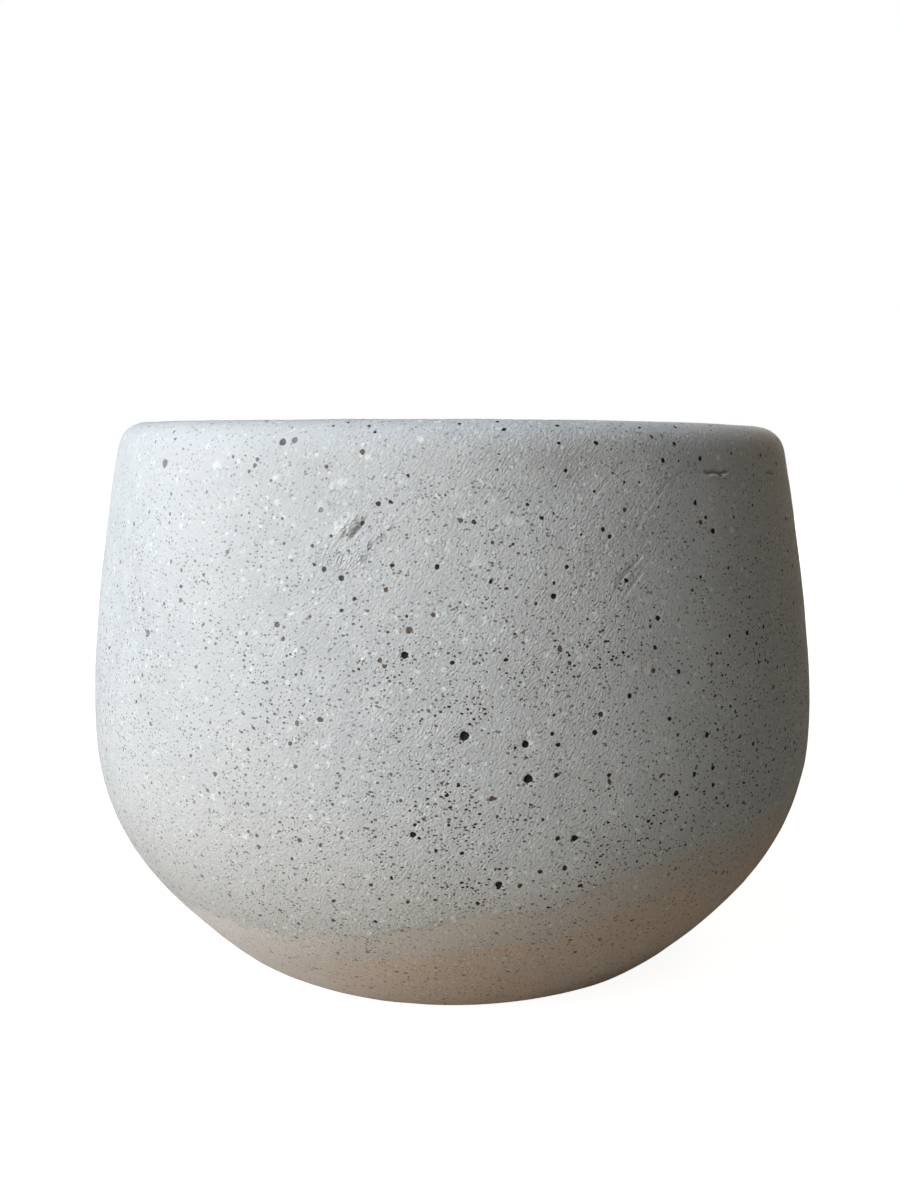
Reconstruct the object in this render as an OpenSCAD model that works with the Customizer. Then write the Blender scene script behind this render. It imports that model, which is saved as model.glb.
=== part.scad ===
// Round squat planter in speckled stoneware, with what lies in and under it.
// +Z is the pot's axis of turning. The origin is on that axis, in the plane
// that the four foot pads stand on. Millimetres.

/* [Outside] */
// Diameter at the belly, where the pot is widest
belly_d = 160; // [140:1:200]
// Height of the pot's rim above its foot
pot_h = 109.5; // [85:0.5:140]
// Height of the belly's widest line above the foot
belly_h = 47.5; // [35:0.5:55]
// Outside diameter of the rim
mouth_d = 145; // [120:1:156]
// Diameter of the foot, measured to where its edge would be sharp
foot_d = 113; // [95:1:120]
// Lean of the outer wall at the rim, from upright, in degrees
rim_lean = 12.5; // [4:0.5:20]
// Lean of the outer wall at the foot, from upright, in degrees
foot_lean = 45.5; // [30:0.5:55]

/* [Walls] */
// Thickness of the wall
wall_t = 8; // [6:0.5:10]
// Thickness of the floor, above the recess under it
floor_t = 8; // [6:0.5:12]
// Rounding of the rim's outer edge, or less if the wall has no room for it
rim_outer_r = 5.6; // [3:0.1:7]
// Rounding of the rim's inner edge
rim_inner_r = 2.2; // [0.5:0.1:2.5]

/* [Foot] */
// Width of the flat ring that the pot stands on
ring_w = 12; // [11:0.5:16]
// Depth of the turned recess inside the ring
recess_h = 5; // [4:0.5:8]
// Rounding of the foot's outer edge
foot_edge_r = 2; // [0.5:0.1:3]
// Bevel of the ring's inner edge
ring_bevel = 1; // [0.3:0.1:1.5]

/* [Drain plug] */
// Diameter of the drain hole
drain_d = 16; // [10:0.5:20]
// Radial clearance between the plug and its hole
plug_fit = 0.05; // [0.02:0.01:0.1]
// Diameter of the plug's flange, under the floor
flange_d = 27; // [24:0.5:34]
// Thickness of the plug's flange
flange_t = 2.6; // [2:0.1:3.5]
// How far the plug's nose stops below the pot's inner floor
nose_gap = 1; // [0.5:0.1:2]
// Bevel round the plug's nose
nose_bevel = 1; // [0.5:0.1:1.5]
// Thickness of the plug's wall round its hollow
plug_wall = 2.2; // [1.5:0.1:2.5]
// Thickness of the plug's closed end
plug_end_t = 2.4; // [1.5:0.1:3]
// Width of the bar across the hollow, by which the plug is pulled
pull_bar_w = 2.4; // [1.5:0.1:3]
// Height of the pull bar
pull_bar_h = 2; // [1.5:0.1:2.5]

/* [Drain screen] */
// Diameter of the mesh disc that lies over the drain hole
screen_d = 36; // [30:1:44]
// Thickness of the mesh disc
screen_t = 1.4; // [1:0.1:2]
// Least width of flat floor round the disc
screen_margin = 2; // [1:0.5:4]
// Width of the disc's solid rim
screen_rim = 2; // [1.5:0.1:3]
// Distance from one bar of the mesh to the next
mesh_pitch = 3.6; // [3:0.1:5]
// Width of a bar of the mesh
mesh_bar = 1.1; // [0.8:0.1:1.4]

/* [Foot pads] */
// Diameter of a foot pad
pad_d = 9; // [6:0.5:10]
// Thickness of a foot pad
pad_t = 1.5; // [1:0.1:3]
// Bevel round a pad's lower edge
pad_bevel = 0.4; // [0.2:0.1:0.6]

/* [Hidden] */
$fn = 96;

// How long each curve of the wall holds its end directions, as a share of
// its height, or of its width where it runs out along the inner floor
belly_up = 0.28;
rim_down = 0.19;
belly_down = 0.31;
foot_up = 0.43;
bowl_down = 0.66;
bowl_out = 0.66;
// Points along each curve and along each rounded edge
curve_steps = 12;
edge_steps = 6;
// How far a cut runs past the face that it opens
cut = 1;

belly_r = belly_d / 2;
mouth_r = mouth_d / 2;
foot_r = foot_d / 2;
drain_r = drain_d / 2;
plug_r = drain_r - plug_fit;
flange_r = flange_d / 2;
hollow_r = plug_r - plug_wall;
pad_angles = [45, 135, 225, 315];

// Levels, from the pads upwards
foot_z = pad_t;
recess_z = foot_z + recess_h;
floor_z = recess_z + floor_t;
belly_z = foot_z + belly_h;
rim_z = foot_z + pot_h;
nose_z = floor_z - nose_gap;

// The flat of the foot ring runs from ring_inner_r to ring_outer_r
ring_outer_r = foot_r - foot_edge_r * tan((90 - foot_lean) / 2);
ring_inner_r = ring_outer_r - ring_w;
pad_ring_r = (ring_inner_r + ring_outer_r) / 2;
// The flat of the inner floor keeps the wall's thickness over the foot,
// and is never smaller than the screen needs
flat_floor_r = max(ring_inner_r - wall_t, screen_d / 2 + screen_margin);

// A point at an angle on a circle round a centre
function on_circle(centre, r, angle) = centre + r * [cos(angle), sin(angle)];

// Points along a circle's arc, both ends included
function arc(centre, r, from, to, steps) =
    [for (i = [0:steps]) on_circle(centre, r, from + (to - from) * i / steps)];

// Points along a smooth curve from a to b, which leaves a towards its
// handle and reaches b from its handle; the first point is left out
function curve(a, a_handle, b_handle, b, steps) =
    [for (i = [1:steps]) let (t = i / steps, s = 1 - t)
        s * s * s * a + 3 * s * s * t * a_handle + 3 * s * t * t * b_handle + t * t * t * b];

// The foot's rounded outer edge, from the flat of the ring to the wall
foot_edge = arc([ring_outer_r, foot_z + foot_edge_r], foot_edge_r, -90, -foot_lean, edge_steps);

// The rim's two rounded edges, from the outer wall to the inner wall
rim_share = min(1, wall_t / (rim_outer_r + rim_inner_r));
outer_r = rim_share * rim_outer_r;
inner_r = rim_share * rim_inner_r;
rim_outer_edge = arc([mouth_r - outer_r, rim_z - outer_r], outer_r, rim_lean, 90, edge_steps);
rim_inner_edge = arc([mouth_r - wall_t + inner_r, rim_z - inner_r], inner_r, 90, 180 + rim_lean, edge_steps);

// The outside, upwards from the foot's edge to the belly and on to the rim
outer_foot = foot_edge[edge_steps];
outer_belly = [belly_r, belly_z];
outer_rim = rim_outer_edge[0];
foot_rise = outer_belly[1] - outer_foot[1];
rim_rise = outer_rim[1] - outer_belly[1];
outside_low = curve(
    outer_foot,
    outer_foot + foot_up * foot_rise * [tan(foot_lean), 1],
    outer_belly - [0, belly_down * foot_rise],
    outer_belly,
    curve_steps);
outside_high = curve(
    outer_belly,
    outer_belly + [0, belly_up * rim_rise],
    outer_rim - rim_down * rim_rise * [-tan(rim_lean), 1],
    outer_rim,
    curve_steps);

// The inside, downwards from the rim's edge to the belly and on to the floor
inner_rim = rim_inner_edge[edge_steps];
inner_belly = [belly_r - wall_t, belly_z];
inner_floor = [flat_floor_r, floor_z];
inner_fall = inner_rim[1] - inner_belly[1];
bowl_fall = inner_belly[1] - inner_floor[1];
inside_high = curve(
    inner_rim,
    inner_rim - rim_down * inner_fall * [-tan(rim_lean), 1],
    inner_belly + [0, belly_up * inner_fall],
    inner_belly,
    curve_steps);
inside_low = curve(
    inner_belly,
    inner_belly - [0, bowl_down * bowl_fall],
    inner_floor + [bowl_out * (inner_belly[0] - inner_floor[0]), 0],
    inner_floor,
    curve_steps);

// Underside of the floor, the recess's wall and the ring's bevelled edge
underside = [
    [drain_r, floor_z],
    [drain_r, recess_z],
    [ring_inner_r - ring_bevel, recess_z],
    [ring_inner_r - ring_bevel, foot_z + ring_bevel],
    [ring_inner_r, foot_z]
];

// The stoneware body: one shell, open at the mouth, with a foot ring,
// a recess inside the ring and a drain hole on the axis
module pot() {
    color([0.76, 0.76, 0.74])
    rotate_extrude()
    polygon(concat(
        underside, foot_edge, outside_low, outside_high,
        rim_outer_edge, rim_inner_edge, inside_high, inside_low));
}

// The rubber stopper: a flange against the underside of the floor and a
// hollow body in the drain hole, with a bar to pull it by
module drain_plug() {
    flange_z = recess_z - flange_t;
    bar_end_r = hollow_r + plug_wall / 2;
    color([0.16, 0.16, 0.17])
    union() {
        difference() {
            union() {
                translate([0, 0, flange_z]) cylinder(r = flange_r, h = flange_t);
                translate([0, 0, flange_z]) cylinder(r = plug_r, h = nose_z - nose_bevel - flange_z);
                translate([0, 0, nose_z - nose_bevel])
                    cylinder(r1 = plug_r, r2 = plug_r - nose_bevel, h = nose_bevel);
            }
            translate([0, 0, flange_z - cut])
                cylinder(r = hollow_r, h = nose_z - plug_end_t - flange_z + cut);
        }
        intersection() {
            translate([-bar_end_r, -pull_bar_w / 2, flange_z])
                cube([2 * bar_end_r, pull_bar_w, pull_bar_h]);
            translate([0, 0, flange_z]) cylinder(r = bar_end_r, h = pull_bar_h);
        }
    }
}

// The plastic mesh disc that keeps the soil in, loose on the inner floor
module drain_screen() {
    hole = mesh_pitch - mesh_bar;
    field_r = screen_d / 2 - screen_rim;
    reach = floor(field_r / mesh_pitch);
    color([0.12, 0.13, 0.12])
    translate([0, 0, floor_z])
    difference() {
        cylinder(d = screen_d, h = screen_t);
        for (i = [-reach:reach], j = [-reach:reach]) {
            corner = norm([abs(i) * mesh_pitch + hole / 2, abs(j) * mesh_pitch + hole / 2]);
            if (corner < field_r)
                translate([i * mesh_pitch - hole / 2, j * mesh_pitch - hole / 2, -cut])
                    cube([hole, hole, screen_t + 2 * cut]);
        }
    }
}

// One of the rubber pads stuck under the foot ring
module foot_pad(angle) {
    color([0.32, 0.32, 0.31])
    rotate([0, 0, angle])
    translate([pad_ring_r, 0, 0]) {
        cylinder(d1 = pad_d - 2 * pad_bevel, d2 = pad_d, h = pad_bevel);
        translate([0, 0, pad_bevel]) cylinder(d = pad_d, h = pad_t - pad_bevel);
    }
}

pot();
drain_plug();
drain_screen();
foot_pad(pad_angles[0]);  // foot_pad_1
foot_pad(pad_angles[1]);  // foot_pad_2
foot_pad(pad_angles[2]);  // foot_pad_3
foot_pad(pad_angles[3]);  // foot_pad_4
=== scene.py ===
import math

import bmesh
import bpy
import numpy as np
from mathutils import Matrix, Vector, noise


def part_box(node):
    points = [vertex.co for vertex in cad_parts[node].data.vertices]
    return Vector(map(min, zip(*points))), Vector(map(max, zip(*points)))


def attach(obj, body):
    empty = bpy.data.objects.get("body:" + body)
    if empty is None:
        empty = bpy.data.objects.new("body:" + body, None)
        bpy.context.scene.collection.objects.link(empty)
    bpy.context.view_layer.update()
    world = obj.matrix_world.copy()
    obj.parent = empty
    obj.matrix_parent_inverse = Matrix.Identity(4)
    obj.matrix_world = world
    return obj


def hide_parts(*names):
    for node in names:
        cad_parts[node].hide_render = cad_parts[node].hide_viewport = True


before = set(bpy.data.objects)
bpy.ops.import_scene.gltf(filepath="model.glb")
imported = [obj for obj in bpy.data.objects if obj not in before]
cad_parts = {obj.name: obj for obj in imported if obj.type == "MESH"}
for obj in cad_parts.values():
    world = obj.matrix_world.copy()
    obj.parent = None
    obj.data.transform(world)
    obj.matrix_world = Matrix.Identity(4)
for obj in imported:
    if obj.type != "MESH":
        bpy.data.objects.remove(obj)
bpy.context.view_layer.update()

# ---- Where it stands ---------------------------------------------------------
# The pot stands alone on a seamless pale sweep, beside a large window on its
# left. The light that has crossed the room comes back weak and warm from the
# right. The camera is just under the level of the rim and looks slightly down.

MM = 0.001
scene = bpy.context.scene
scene.view_settings.view_transform = "Standard"
rim_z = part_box("pot")[1].z
belly_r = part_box("pot")[1].x


def shader(tree, kind, inputs=None, **settings):
    """A new node with its settings. An input is given a value, or a socket to link it to."""
    made = tree.nodes.new(kind)
    for name, value in settings.items():
        setattr(made, name, value)
    for name, value in (inputs or {}).items():
        if isinstance(value, bpy.types.NodeSocket):
            tree.links.new(value, made.inputs[name])
        else:
            made.inputs[name].default_value = value
    return made


camera = bpy.data.objects.new("camera", bpy.data.cameras.new("camera"))
camera.data.lens = 30.0
camera.data.sensor_width = 36.0
camera.data.clip_start = 5 * MM
CAMERA_BACK, CAMERA_BELOW_RIM, CAMERA_DOWN = 231 * MM, 2.8 * MM, math.radians(9.3)
camera.location = (-0.5 * MM, -CAMERA_BACK, rim_z - CAMERA_BELOW_RIM)
camera.rotation_euler = (math.pi / 2 - CAMERA_DOWN, 0.0, 0.0)
scene.collection.objects.link(camera)
scene.camera = camera


LAMP_AWAY = 1.2


def softbox(name, azimuth, elevation, size, power, colour):
    """A square area light that faces the pot. Azimuth 0 is in front of the pot and 90 on its right."""
    light = bpy.data.lights.new(name, "AREA")
    light.shape = "SQUARE"
    light.size = size
    light.energy = power
    light.color = colour
    lamp = bpy.data.objects.new(name, light)
    turn, rise = math.radians(azimuth), math.radians(elevation)
    back = Vector((math.sin(turn) * math.cos(rise), -math.cos(turn) * math.cos(rise), math.sin(rise)))
    lamp.location = Vector((0, 0, rim_z / 2)) + back * LAMP_AWAY
    lamp.rotation_euler = back.to_track_quat("Z", "Y").to_euler()
    scene.collection.objects.link(lamp)


softbox("window", -60, 25, 0.8, 10.9, (0.85, 0.94, 1.0))
softbox("window_low", -50, 25, 0.8, 5.4, (1.0, 0.66, 0.20))
softbox("window_sky", -60, 40, 0.8, 6.1, (0.22, 0.58, 1.0))
softbox("room_right", 135, 35, 0.8, 2.7, (1.0, 0.80, 0.48))
softbox("room_back", 158, 10, 0.5, 5.0, (1.0, 0.92, 0.84))
softbox("ceiling", -30, 80, 1.0, 0.95, (1.0, 0.98, 0.95))

world = bpy.data.worlds.new("room")
world.use_nodes = True
world.node_tree.nodes.clear()
seen_sky = shader(world.node_tree, "ShaderNodeBackground", {"Color": (1, 1, 1, 1), "Strength": 1.0})
lit_sky = shader(world.node_tree, "ShaderNodeBackground", {"Color": (1.0, 0.96, 0.9, 1), "Strength": 0.004})
sky = shader(world.node_tree, "ShaderNodeMixShader", {
    0: shader(world.node_tree, "ShaderNodeLightPath").outputs["Is Camera Ray"],
    1: lit_sky.outputs[0],
    2: seen_sky.outputs[0],
})
shader(world.node_tree, "ShaderNodeOutputWorld", {"Surface": sky.outputs[0]})
scene.world = world

sweep_mesh = bpy.data.meshes.new("sweep")
SWEEP_HALF = 3.0
corners = [(x * SWEEP_HALF, y * SWEEP_HALF, 0) for x, y in ((-1, -1), (1, -1), (1, 1), (-1, 1))]
sweep_mesh.from_pydata(corners, [], [(0, 1, 2, 3)])
sweep = bpy.data.objects.new("sweep", sweep_mesh)
scene.collection.objects.link(sweep)
sweep_look = bpy.data.materials.new("sweep_paper")
sweep_look.use_nodes = True
tree = sweep_look.node_tree
tree.nodes.clear()
paper = shader(tree, "ShaderNodeBsdfDiffuse", {"Color": (0.40, 0.385, 0.35, 1)})
# Painted shade: the paper's glow is a little dimmer close to the pot, which darkens the floor round its foot
from_pot = shader(tree, "ShaderNodeVectorMath", {
    0: shader(tree, "ShaderNodeTexCoord").outputs["Object"],
}, operation="LENGTH")
glow_dimmed_near_pot = shader(tree, "ShaderNodeMapRange", {
    "Value": from_pot.outputs["Value"], "From Min": 0.06, "From Max": 0.26, "To Min": 0.94, "To Max": 1.0,
}, interpolation_type="SMOOTHSTEP")
glow = shader(tree, "ShaderNodeEmission", {"Color": (1, 1, 1, 1), "Strength": glow_dimmed_near_pot.outputs["Result"]})
bright_paper = shader(tree, "ShaderNodeAddShader", {0: paper.outputs[0], 1: glow.outputs[0]})
seen_paper = shader(tree, "ShaderNodeMixShader", {
    0: shader(tree, "ShaderNodeLightPath").outputs["Is Camera Ray"],
    1: paper.outputs[0],
    2: bright_paper.outputs[0],
})
shader(tree, "ShaderNodeOutputMaterial", {"Surface": seen_paper.outputs[0]})
sweep_mesh.materials.append(sweep_look)

# ---- The pot: its form -------------------------------------------------------
# One thrown body of speckled stoneware. It is turned on a wheel, so its form is
# its half section swept round the axis, with a thrower's small unevenness: the
# mouth is not quite round and the rim dips towards one side.

pot_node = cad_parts["pot"]


def turned_outline(node):
    """The half section of a turned CAD node, as (radius, height) points in order round it, in mm."""
    seam = {v.index: (round(v.co.x / MM, 2), round(v.co.z / MM, 2))
            for v in node.data.vertices if abs(v.co.y) < 1e-6 and v.co.x > 0}
    beside = {point: set() for point in seam.values()}
    for edge in node.data.edges:
        a, b = (seam.get(i) for i in edge.vertices)
        if a and b and a != b:
            beside[a].add(b)
            beside[b].add(a)
    # The walk starts up in the bore. A level face has no edge along the seam, so the walk crosses it to its
    # other side
    inner = min(point[0] for point in beside)
    here = max(point for point in beside if point[0] == inner)
    outline, left = [], set(beside)
    while here:
        outline.append(here)
        left.discard(here)
        ahead = beside[here] & left or {point for point in left if point[1] == here[1]}
        here = min(ahead, key=lambda point: math.dist(point, outline[-1])) if ahead else None
    return np.array(outline)


def turn_at(points):
    """How sharply a closed outline turns at each of its points, in radians."""
    before, after = points - np.roll(points, 1, 0), np.roll(points, -1, 0) - points
    cross = before[:, 0] * after[:, 1] - before[:, 1] * after[:, 0]
    return np.abs(np.arctan2(cross, (before * after).sum(1)))


def smooth_outline(points, step=0.2, softness=0.45):
    """A closed outline through the same points, curved, resampled and with its corners eased."""
    points = points[turn_at(points) > math.radians(0.15)]
    corner = turn_at(points) > math.radians(30)
    ahead = np.roll(points, -1, 0) - points
    length = np.hypot(*ahead.T)
    slope = ahead / length[:, None]
    slope_before, length_before = np.roll(slope, 1, 0), np.roll(length, 1)
    tangent = slope_before * length[:, None] + slope * length_before[:, None]
    tangent = tangent / (length + length_before)[:, None]
    leaving = np.where(corner[:, None], slope, tangent)
    reaching = np.roll(np.where(corner[:, None], slope_before, tangent), -1, 0)
    curve = []
    for a, b, out, into, span in zip(points, np.roll(points, -1, 0), leaving, reaching, length):
        parts = max(1, round(span / step))
        t = np.arange(parts)[:, None] / parts
        curve.append((2 * t**3 - 3 * t**2 + 1) * a + (3 * t**2 - 2 * t**3) * b
                     + span * ((t**3 - 2 * t**2 + t) * out + (t**3 - t**2) * into))
    curve = np.vstack(curve)
    reach = round(4 * softness / step)
    weights = np.exp(-0.5 * (np.arange(-reach, reach + 1) * step / softness) ** 2)
    padded = np.vstack([curve[-reach:], curve, curve[:reach]])
    return np.stack([np.convolve(padded[:, k], weights / weights.sum(), "valid") for k in (0, 1)], 1)


outline = smooth_outline(turned_outline(pot_node))
steps = np.hypot(*(np.roll(outline, -1, 0) - outline).T)
along = np.concatenate([[0], np.cumsum(steps)])
pot_top = outline[:, 1].max()
pot_foot = outline[:, 1].min()
crest = int(outline[:, 1].argmax())
foot_edge = int(np.where(outline[:, 1] < pot_foot + 0.02)[0].max())
bore_r = outline[:, 0].min()

# Rows of the mesh lie closest on the outside, and where the outline turns. The first row is in the bore, then
# they run out under the foot, up the outside, over the rim, and down the inside. Gaps are in mm.
UNDER_GAP, OUTER_GAP, INNER_GAP, LEAST_GAP = 1.9, 1.15, 2.5, 0.35
TURN_PER_ROW = 0.26
place = np.arange(len(outline))
past_rim = crest + 60
row_gap = np.full(len(outline), UNDER_GAP)
row_gap[(place > foot_edge) & (place <= past_rim)] = OUTER_GAP
row_gap[place > past_rim] = INNER_GAP
bend = turn_at(outline) / steps
row_gap = np.minimum(row_gap, np.maximum(TURN_PER_ROW / np.maximum(bend, 1e-3), LEAST_GAP))
count = np.concatenate([[0], np.cumsum(steps / row_gap)])
floor_edge = int(np.where(outline[:, 1] > outline[crest:, 1].min() + 0.5)[0].max())
ends = [0, foot_edge, crest, floor_edge, len(outline)]
row_at = np.concatenate([
    np.interp(np.linspace(count[a], count[b], round(count[b] - count[a]), endpoint=False), count, along)
    for a, b in zip(ends[:-1], ends[1:])
])
rows = len(row_at)
COLUMNS = 420

closed_outline = np.vstack([outline, outline[:1]])
outward = np.roll(closed_outline[:-1], -1, 0) - np.roll(closed_outline[:-1], 1, 0)
outward = np.stack([outward[:, 1], -outward[:, 0]], 1) / np.hypot(*outward.T)[:, None]
outward = np.vstack([outward, outward[:1]])


def on_outline(values, s):
    """A value that is given round the outline, at distances s along it."""
    return np.stack([np.interp(s, along, values[:, k]) for k in range(values.shape[1])], 1)


row_points = on_outline(closed_outline, row_at)
turns = np.arange(COLUMNS) / COLUMNS * 2 * math.pi - math.pi
places = np.empty((rows, COLUMNS, 3))
places[..., 0] = row_points[:, None, 0] * np.sin(turns)
places[..., 1] = -row_points[:, None, 0] * np.cos(turns)
places[..., 2] = row_points[:, None, 1]
numbers = np.arange(rows * COLUMNS).reshape(rows, COLUMNS)
faces = np.stack([
    numbers,
    np.roll(numbers, -1, 1),
    np.roll(np.roll(numbers, -1, 0), -1, 1),
    np.roll(numbers, -1, 0),
], -1).reshape(-1, 4)
pot_mesh = bpy.data.meshes.new("stoneware_pot")
pot_mesh.from_pydata(places.reshape(-1, 3).tolist(), [], faces.tolist())

# The outside is unrolled in two strips, front and back, and has most of the map. Under them lie the inside and
# then the underside, which runs on through the bore to the inner floor. Places are shares of the map.
SIDE_MARGIN = 0.003
UNDER_LOW, UNDER_TALL = 0.005, 0.10
INSIDE_TOP, INSIDE_TALL = 0.270, 0.155
BACK_LOW, FRONT_LOW, OUTSIDE_TALL = 0.278, 0.640, 0.355
row_to = np.append(row_at[1:], along[-1])
foot_s, crest_s, floor_s = along[foot_edge], along[crest], along[floor_edge]
outer = ((row_at > foot_s - 0.001) & (row_to < crest_s + 0.001))[:, None]
inner = ((row_at > crest_s - 0.001) & (row_to < floor_s + 0.001))[:, None]
column_at = np.arange(COLUMNS) / COLUMNS
front = (column_at >= 0.25) & (column_at < 0.75)
uv = np.zeros((rows, COLUMNS, 4, 2))
for corner, (next_row, next_column) in enumerate(((0, 0), (0, 1), (1, 1), (1, 0))):
    row_s = (row_to if next_row else row_at)[:, None]
    half_turn = 2 * (np.where(front, column_at - 0.25, (column_at + 0.25) % 1.0) + next_column / COLUMNS)
    full_turn = column_at + next_column / COLUMNS
    past_floor = np.where(row_s > floor_s - 0.001, row_s - floor_s, row_s + along[-1] - floor_s)
    v = UNDER_LOW + UNDER_TALL * past_floor / (foot_s + along[-1] - floor_s)
    v = np.where(inner, INSIDE_TOP - INSIDE_TALL * (row_s - crest_s) / (floor_s - crest_s), v)
    strip_low = np.where(front, FRONT_LOW, BACK_LOW)
    v = np.where(outer, strip_low + OUTSIDE_TALL * (row_s - foot_s) / (crest_s - foot_s), v)
    uv[:, :, corner, 0] = SIDE_MARGIN + (1 - 2 * SIDE_MARGIN) * np.where(outer, half_turn, full_turn)
    uv[:, :, corner, 1] = v
pot_mesh.uv_layers.new(name="OFBake").data.foreach_set("uv", uv.ravel())
row_of = pot_mesh.attributes.new("row_place", "FLOAT", "POINT")
row_of.data.foreach_set("value", np.repeat(row_at, COLUMNS))

# ---- The pot: the marks on it ------------------------------------------------
# Grains of iron in the clay have melted into round spots, black where they lie
# open and brown or grey where the slip veils them. The wall also carries a
# knock near the rim, two finger creases and a few fine scratches.

outside = slice(foot_edge, crest + 1)


def wall_point(angle, height):
    """A point on the outside of the wall, with the directions right, up and out there. Angle 0 is in front."""
    s = float(np.interp(height, outline[outside, 1], along[outside]))
    radius = float(np.interp(s, along, closed_outline[:, 0]))
    out_r, out_z = on_outline(outward, np.array([s]))[0]
    turn = math.radians(angle)
    right = np.array([math.cos(turn), math.sin(turn), 0.0])
    out = np.array([out_r * math.sin(turn), -out_r * math.cos(turn), out_z])
    point = np.array([radius * math.sin(turn), -radius * math.cos(turn), height])
    return point, right, np.cross(out, right), out


# The spots that catch the eye, each as angle, height, diameter, how brown it is and how far the slip veils it
SPOTS = [
    (-5.6, 74.3, 1.35, 0.0, 0.0), (1.3, 61.7, 1.75, 0.0, 0.0), (8.3, 60.1, 1.35, 0.0, 0.0),
    (7.1, 59.6, 0.65, 0.1, 0.0), (8.6, 54.5, 1.7, 0.0, 0.0), (-13.4, 86.0, 1.1, 0.0, 0.1),
    (-21.5, 78.1, 1.15, 0.0, 0.3), (-5.1, 78.2, 1.25, 1.0, 0.1), (-8.5, 73.4, 1.0, 1.0, 0.1),
    (-4.6, 45.5, 1.15, 0.0, 0.0), (5.4, 36.4, 1.4, 0.0, 0.0), (14.3, 43.9, 1.2, 0.0, 0.0),
    (12.2, 59.7, 0.9, 0.0, 0.0), (-43.9, 103.4, 1.9, 0.2, 0.4), (-44.1, 73.5, 1.4, 0.0, 0.45),
    (2.5, 94.9, 1.05, 0.9, 0.0), (0.9, 95.2, 0.95, 1.0, 0.1), (17.5, 64.1, 1.05, 0.8, 0.0),
    (25.9, 78.8, 1.1, 0.1, 0.0), (-15.6, 63.5, 1.05, 1.0, 0.15), (12.0, 83.3, 1.1, 0.0, 0.0),
    (-2.3, 80.6, 0.9, 1.0, 0.1), (-20.6, 75.9, 0.9, 0.0, 0.3), (33.0, 58.0, 1.1, 0.1, 0.0),
    (36.5, 92.5, 1.15, 0.1, 0.0), (42.0, 74.0, 1.1, 0.2, 0.0), (-30.0, 52.0, 1.0, 0.3, 0.3),
    (13.3, 38.6, 0.95, 0.4, 0.0), (-24.0, 40.5, 1.0, 0.8, 0.3), (28.0, 49.0, 1.2, 0.2, 0.0),
    (-22.4, 107.2, 1.4, 0.1, 0.25), (-20.7, 107.5, 1.25, 0.8, 0.3), (-16.4, 96.6, 1.0, 0.3, 0.4),
    (19.6, 92.4, 0.9, 0.2, 0.0),
]
# More of them round the back, at random
chance = np.random.default_rng(11)
for _ in range(46):
    SPOTS.append((
        chance.uniform(55, 305), chance.uniform(24, 106), 0.85 + 0.9 * chance.random() ** 3,
        float(chance.random() < 0.35), 0.35 * chance.random() ** 2,
    ))

# The largest flecks of feldspar, each as angle, height and diameter
FLECKS = [
    (8.2, 94.9, 1.9), (6.7, 95.2, 1.3), (1.2, 96.0, 1.3), (-16.5, 96.9, 1.2),
    (2.8, 88.6, 1.6), (-32.8, 103.3, 1.5), (-19.8, 80.0, 1.2), (-23.0, 101.5, 1.3),
    (-14.0, 101.0, 1.4), (22.0, 71.0, 1.2), (31.0, 66.0, 1.1), (11.0, 74.0, 1.2),
]

# Scratches and strokes of a tool, each as its strength and the angles and heights that it passes
SCRATCHES = [
    (0.45, [(16.5, 95.9), (18.8, 100.2), (21.9, 103.6), (27.0, 106.0)]),
    (0.45, [(22.6, 91.2), (24.8, 96.0), (29.2, 101.0), (36.0, 104.9)]),
    (0.9, [(19.3, 82.2), (20.8, 85.4), (23.2, 88.2), (25.6, 90.8)]),
    (0.8, [(21.0, 82.4), (23.0, 85.4), (24.8, 87.8)]),
    (0.5, [(-9.0, 58.0), (-6.4, 60.2), (-4.4, 61.4)]),
    (0.7, [(150.0, 62.0), (158.0, 66.0), (168.0, 68.5)]),
]

# A knock near the rim, the fold beside it, the crumbled patch below it, and a shallow dent
KNOCK = wall_point(-12.4, 94.0)
RIDGE = [wall_point(-7.6, 94.9)[0], wall_point(-11.6, 89.0)[0]]
ROUGH = wall_point(-14.0, 88.8)
DENT = wall_point(17.0, 102.0)

# Creases that a finger left under the rim, each as angle, height and width
CREASES = [(38.8, 102.5, 6.6), (55.0, 102.2, 4.4)]


def refine(mesh, centres):
    """Cuts the faces near the given (centre, reach) places in four each way."""
    grown = bmesh.new()
    grown.from_mesh(mesh)
    grown.verts.ensure_lookup_table()
    at = np.array([v.co for v in grown.verts])
    near = np.zeros(len(at), bool)
    for centre, reach in centres:
        near |= ((at - centre) ** 2).sum(1) < reach**2
    edges = [e for e in grown.edges if near[e.verts[0].index] and near[e.verts[1].index]]
    bmesh.ops.subdivide_edges(grown, edges=edges, cuts=3, use_grid_fill=True)
    bmesh.ops.triangulate(grown, faces=[f for f in grown.faces if len(f.verts) > 4])
    grown.to_mesh(mesh)
    grown.free()


scratch_points = []
for _, path in SCRATCHES:
    for (a0, h0), (a1, h1) in zip(path[:-1], path[1:]):
        for t in np.linspace(0, 1, 7):
            scratch_points.append(wall_point(a0 + (a1 - a0) * t, h0 + (h1 - h0) * t)[0])
refine(
    pot_mesh,
    [(wall_point(a, h)[0], 0.5 * d + 1.0) for a, h, d, _, _ in SPOTS]
    + [(wall_point(a, h)[0], 0.5 * d + 0.7) for a, h, d in FLECKS]
    + [(p, 1.3) for p in scratch_points]
    + [(KNOCK[0], 4.6), (ROUGH[0], 5.2), ((RIDGE[0] + RIDGE[1]) / 2, 4.6)]
    + [(wall_point(a, h)[0], 0.7 * w + 0.8) for a, h, w in CREASES],
)

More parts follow.
